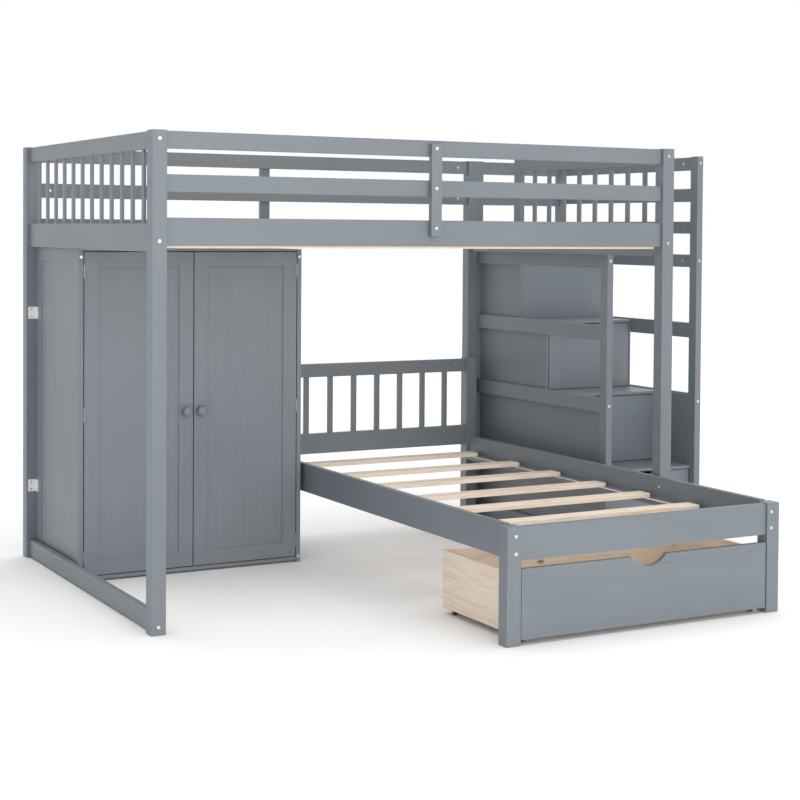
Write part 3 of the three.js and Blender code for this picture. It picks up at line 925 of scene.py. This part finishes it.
def addBedSlats():
    node = "bed_slat_base"
    lowCorner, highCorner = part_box(node)
    top = highCorner[2]
    topVerts = [vert for vert in nodes[node].data.vertices if vert.co.z > top - bedSlats["topBand"]]
    edges = sorted({round(vert.co.y, 4) for vert in topVerts})
    boards, straps = bmesh.new(), bmesh.new()
    under = top - bedSlats["thick"]
    for front, back in zip(edges[0::2], edges[1::2]):
        board = block((lowCorner[0], front, under), (highCorner[0], back, top), bedSlats["soften"])
        addCopy(boards, board, still)
    for side in (0, 1):
        inner = bedSlats["fromEnd"]
        start = lowCorner[0] + inner if side == 0 else highCorner[0] - inner - bedSlats["webbing"]
        lowEnd = (start, edges[0] + bedSlats["webTuck"], under - bedSlats["webThick"])
        highEnd = (start + bedSlats["webbing"], edges[-1] - bedSlats["webTuck"], under)
        addCopy(straps, block(lowEnd, highEnd, bedSlats["webSoften"]), still)
    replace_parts(finishPiece("bed_slats", boards, pine["x"], "bed_frame", smooth=False), node)
    finishPiece("bed_slat_webbing", straps, webbing, "bed_frame", smooth=False)


addBedSlats()
print("lower slats laid")


# Pairs of screws where each loft slat crosses the two ledgers and the middle beam.
loftSlats = {"count": 13, "wide": 0.070, "screwFromEdge": 0.011, "screwApart": 0.018, "sunk": 0.0008}


def addSlatScrews():
    deck = "loft_slat_base"
    wide, count = loftSlats["wide"], loftSlats["count"]
    start, end = high("loft_post_front_left", "x"), low("loft_post_front_right", "x")
    gap = (end - start - count * wide) / (count + 1)
    fromEdge = loftSlats["screwFromEdge"]
    rows = [low(deck, "y") + fromEdge, middle(deck, "y"), high(deck, "y") - fromEdge]
    z = high(deck, "z") - loftSlats["sunk"]
    spots = []
    for index in range(count):
        centre = start + gap + wide / 2 + index * (gap + wide)
        for y in rows:
            for side in (-1, 1):
                spots.append(((centre + side * loftSlats["screwApart"], y, z), (0, 0, 1)))
    scatter("loft_slat_screws", makeHead(lobes=4, **screwHead), spots, boltSteel, "bed_frame")


addSlatScrews()
print("slats screwed down")


# Wire nails in the drawer's sides: a column into the back board and a row into the bottom.
nail = {"radius": 0.0016, "height": 0.0005, "rim": 0.0002, "socket": 0.0006, "depth": 0.0001}
nailShares = {"upBack": (0.18, 0.5, 0.82), "alongBottom": (0.12, 0.38, 0.62, 0.88)}


def addDrawerNails():
    spots = []
    for end, outward in (("left", -1), ("right", 1)):
        board = "bed_drawer_side_" + end
        x = low(board, "x") if end == "left" else high(board, "x")
        back = middle("bed_drawer_back", "y")
        bottom = middle("bed_drawer_bottom", "z")
        for share in nailShares["upBack"]:
            spots.append(((x, back, partWay(board, "z", share)), (outward, 0, 0)))
        for share in nailShares["alongBottom"]:
            spots.append(((x, partWay(board, "y", share), bottom), (outward, 0, 0)))
    scatter("bed_drawer_nails", makeHead(lobes=4, segments=12, **nail), spots, hingeNickel, "bed_drawer")


addDrawerNails()
print("drawer nailed")


# Floor, light and camera. The sky is white on one side and dimmer on the other, as "towards" says,
# and two soft lamps stand on the dim side.
stageSetup = {
    "size": 60.0,
    "floor": (0.94, 0.94, 0.94),
    "dim": 0.55,
    "bright": 1.0,
    "towards": (0.60, 0.80, 0.0),
    "sun": 1.1,
    "sunAngle": 70,
    "skyStops": (0.20, 0.75),
    "skyMiddle": 0.5,
    "floorRoughness": 0.9,
}
lampPlan = {
    "keyLight": {"place": (1.0, -7.5, 3.0), "target": (0, 0, 0.7), "size": (5.0, 3.0), "watts": 140},
    "fillLight": {"place": (-1.5, -7.0, 1.2), "target": (0.4, 0, 0.7), "size": (5.0, 2.0), "watts": 90},
}


def makeFloor():
    shape = bmesh.new()
    bmesh.ops.create_grid(shape, x_segments=1, y_segments=1, size=stageSetup["size"] / 2)
    mesh = bpy.data.meshes.new("floor")
    shape.to_mesh(mesh)
    shape.free()
    floor = bpy.data.objects.new("floor", mesh)
    bpy.context.scene.collection.objects.link(floor)
    material, tree, shader = newMaterial("floorPale")
    shader.inputs["Base Color"].default_value = (*stageSetup["floor"], 1)
    shader.inputs["Roughness"].default_value = stageSetup["floorRoughness"]
    mesh.materials.append(material)


def addAreaLight(name, place, target, size, watts):
    data = bpy.data.lights.new(name, "AREA")
    data.shape = "RECTANGLE"
    data.size, data.size_y = size
    data.energy = watts
    lamp = bpy.data.objects.new(name, data)
    bpy.context.scene.collection.objects.link(lamp)
    lamp.location = place
    lamp.rotation_mode = "QUATERNION"
    lamp.rotation_quaternion = (Vector(target) - Vector(place)).to_track_quat("-Z", "Y")


def makeStudio():
    world = bpy.data.worlds.new("studio")
    bpy.context.scene.world = world
    world.use_nodes = True
    tree = world.node_tree
    background = tree.nodes["Background"]
    background.inputs["Strength"].default_value = 1.0
    direction = addNode(tree, "ShaderNodeTexCoord")
    lean = addNode(tree, "ShaderNodeVectorMath", operation="DOT_PRODUCT")
    lean.inputs[1].default_value = stageSetup["towards"]
    tree.links.new(direction.outputs["Generated"], lean.inputs[0])
    leaning = mathOf(tree, "ADD", lean.outputs["Value"], stageSetup["skyMiddle"])
    dimStop, brightStop = stageSetup["skyStops"]
    sky = greyRamp(tree, leaning, [(dimStop, stageSetup["dim"]), (brightStop, stageSetup["bright"])])
    tree.links.new(sky, background.inputs["Color"])
    for name, lamp in lampPlan.items():
        addAreaLight(name, **lamp)
    sun = bpy.data.lights.new("skylight", "SUN")
    sun.energy = stageSetup["sun"]
    sun.angle = math.radians(stageSetup["sunAngle"])
    bpy.context.scene.collection.objects.link(bpy.data.objects.new("skylight", sun))
    bpy.context.scene.view_settings.view_transform = "Standard"


cameraPlan = {
    "place": (-2.992391, -5.364610, 1.270425),
    "yaw": -29.52002,
    "down": 1.69276,
    "roll": 0.44497,
    "lens": 75.3517,
    "shift": (-0.05737, -0.15008),
    "sensor": 36,
    "clip": (0.1, 200),
}


def makeCamera():
    data = bpy.data.cameras.new("camera")
    camera = bpy.data.objects.new("camera", data)
    bpy.context.scene.collection.objects.link(camera)
    bpy.context.scene.camera = camera
    data.sensor_width = cameraPlan["sensor"]
    data.lens = cameraPlan["lens"]
    data.shift_x, data.shift_y = cameraPlan["shift"]
    data.clip_start, data.clip_end = cameraPlan["clip"]
    aim = Matrix.Rotation(math.radians(cameraPlan["yaw"]), 4, "Z")
    aim = aim @ Matrix.Rotation(math.pi / 2 - math.radians(cameraPlan["down"]), 4, "X")
    aim = aim @ Matrix.Rotation(math.radians(cameraPlan["roll"]), 4, "Z")
    camera.matrix_world = Matrix.Translation(cameraPlan["place"]) @ aim


makeFloor()
makeStudio()
makeCamera()
print("stage set")
